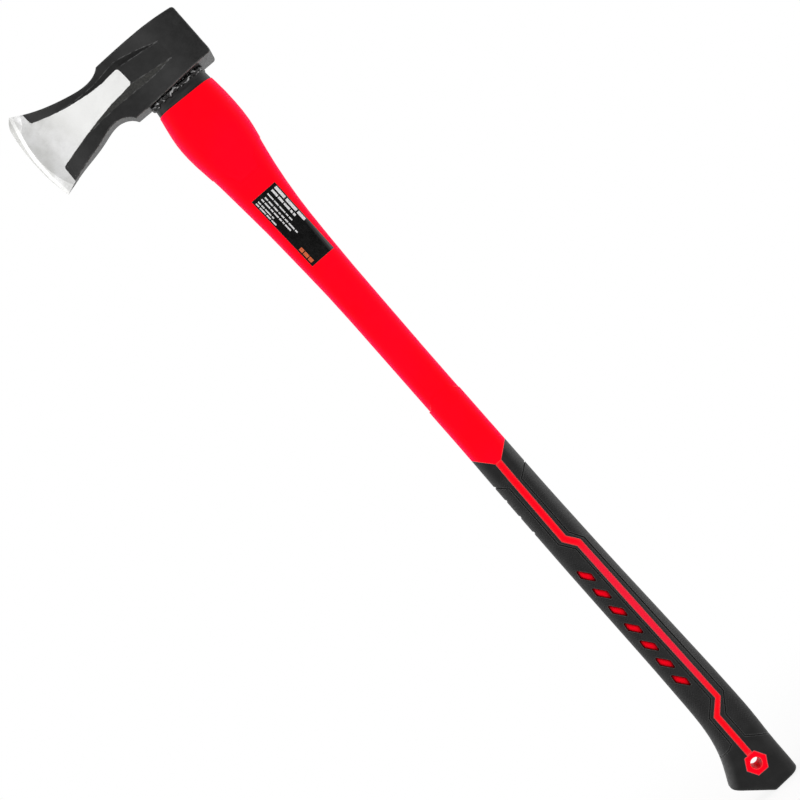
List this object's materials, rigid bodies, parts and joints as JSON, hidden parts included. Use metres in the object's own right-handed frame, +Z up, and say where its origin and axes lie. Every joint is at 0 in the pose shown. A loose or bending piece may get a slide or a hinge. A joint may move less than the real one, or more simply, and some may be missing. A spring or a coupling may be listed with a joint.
{
  "type": "splitting axe",
  "caption": "Long-handled splitting axe: steel wedge head with a hammer poll, bonded to a composite handle with a soft ribbed grip and a hang hole at the butt.",
  "frame": {"origin": "centre of the hang hole near the butt, on the mid-plane of the handle", "axes": "+Z up along the handle towards the head, -X towards the bit, +X towards the poll, Y across the handle along the hang hole's axis"},
  "size_m": [0.1892, 0.0566, 0.9223],
  "materials": {
    "head_steel": "black painted forging, with ground and polished wedge faces and edge",
    "jacket_red": "satin moulded polypropylene",
    "grip_black": "soft matt over-mould with a fine dotted texture",
    "neck_black": "satin moulded nylon",
    "resin_black": "glossy cured resin",
    "core_fibreglass": "pultruded glass fibre in clear yellowish resin",
    "label_film": "printed black vinyl film"
  },
  "bodies": {
    "root": {"head": "head_steel", "jacket": "jacket_red", "grip": "grip_black", "neck_insert": "neck_black", "eye_epoxy": "resin_black", "core_rod": "core_fibreglass", "label": "label_film"}
  },
  "joints": []
}
